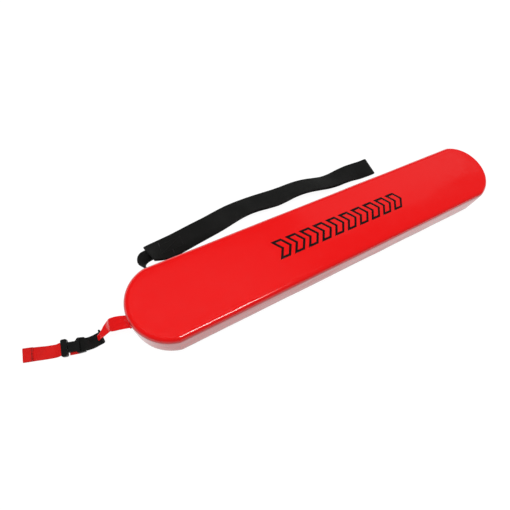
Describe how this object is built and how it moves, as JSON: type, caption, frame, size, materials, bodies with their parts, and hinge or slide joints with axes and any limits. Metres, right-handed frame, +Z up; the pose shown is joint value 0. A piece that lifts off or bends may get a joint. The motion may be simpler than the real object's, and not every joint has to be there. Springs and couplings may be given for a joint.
{
  "type": "lifeguard rescue tube",
  "caption": "Long soft foam rescue float in a glossy red vinyl skin, with a buckle and pull tail on one end, a folded black shoulder strap and a webbing towline.",
  "frame": {"origin": "centre of the float's flat underside", "axes": "+X along the float to the end the towline is sewn to, +Y to the side where the shoulder strap lies, +Z up"},
  "size_m": [1.111, 0.2541, 0.076],
  "materials": {
    "vinyl_red": "glossy dipped vinyl",
    "webbing_red": "tight woven webbing with a slight sheen",
    "webbing_black": "matte woven webbing",
    "acetal_black": "satin moulded plastic",
    "foam_core": "closed-cell foam",
    "thread_black": "bonded nylon thread"
  },
  "bodies": {
    "float": {"vinyl_skin": "vinyl_red", "foam_core_lower": "foam_core", "foam_core_upper": "foam_core", "spine_webbing": "webbing_black", "end_tab_left": "vinyl_red", "end_tab_right": "vinyl_red", "shoulder_strap": "webbing_black", "strap_bar_tack_outer": "thread_black", "strap_bar_tack_inner": "thread_black", "towline_webbing": "webbing_black", "towline_sewn_joint": "thread_black"},
    "link": {"link_webbing": "webbing_black", "buckle_socket": "acetal_black", "buckle_backing_webbing": "webbing_red"},
    "plug": {"buckle_plug": "acetal_black", "pull_tail_wrap": "webbing_red"},
    "prong_far": {"buckle_prong_far": "acetal_black"},
    "prong_near": {"buckle_prong_near": "acetal_black"},
    "tail": {"pull_tail": "webbing_red", "pull_tail_stitch": "thread_black"}
  },
  "joints": [
    {"name": "link_lift", "type": "hinge", "parent": "float", "child": "link", "pos_m": [-0.5168, 0.0126, 0.0098], "axis": [0, 1, 0], "range_deg": [0, 80]},
    {"name": "plug_slide", "type": "slide", "parent": "link", "child": "plug", "axis": [-0.9613, 0.2756, 0], "range_m": [0, 0.03]},
    {"name": "prong_far_pinch", "type": "hinge", "parent": "plug", "child": "prong_far", "pos_m": [-0.56301, 0.02492, 0.00891], "axis": [0.0144, 0.0503, -0.9986], "range_deg": [0, 6], "stiffness_Nm_per_rad": 0.00004},
    {"name": "prong_near_pinch", "type": "hinge", "parent": "plug", "child": "prong_near", "pos_m": [-0.56626, 0.01359, 0.00829], "axis": [-0.0144, -0.0503, 0.9986], "range_deg": [0, 6]},
    {"name": "tail_lift", "type": "hinge", "parent": "plug", "child": "tail", "pos_m": [-0.57766, 0.02315, 0.0056], "axis": [0.2753, 0.9599, 0.0523], "range_deg": [0, 65]}
  ],
  "couplings": [
    {"joint": "prong_near_pinch", "follows": "prong_far_pinch", "ratio": 1}
  ]
}
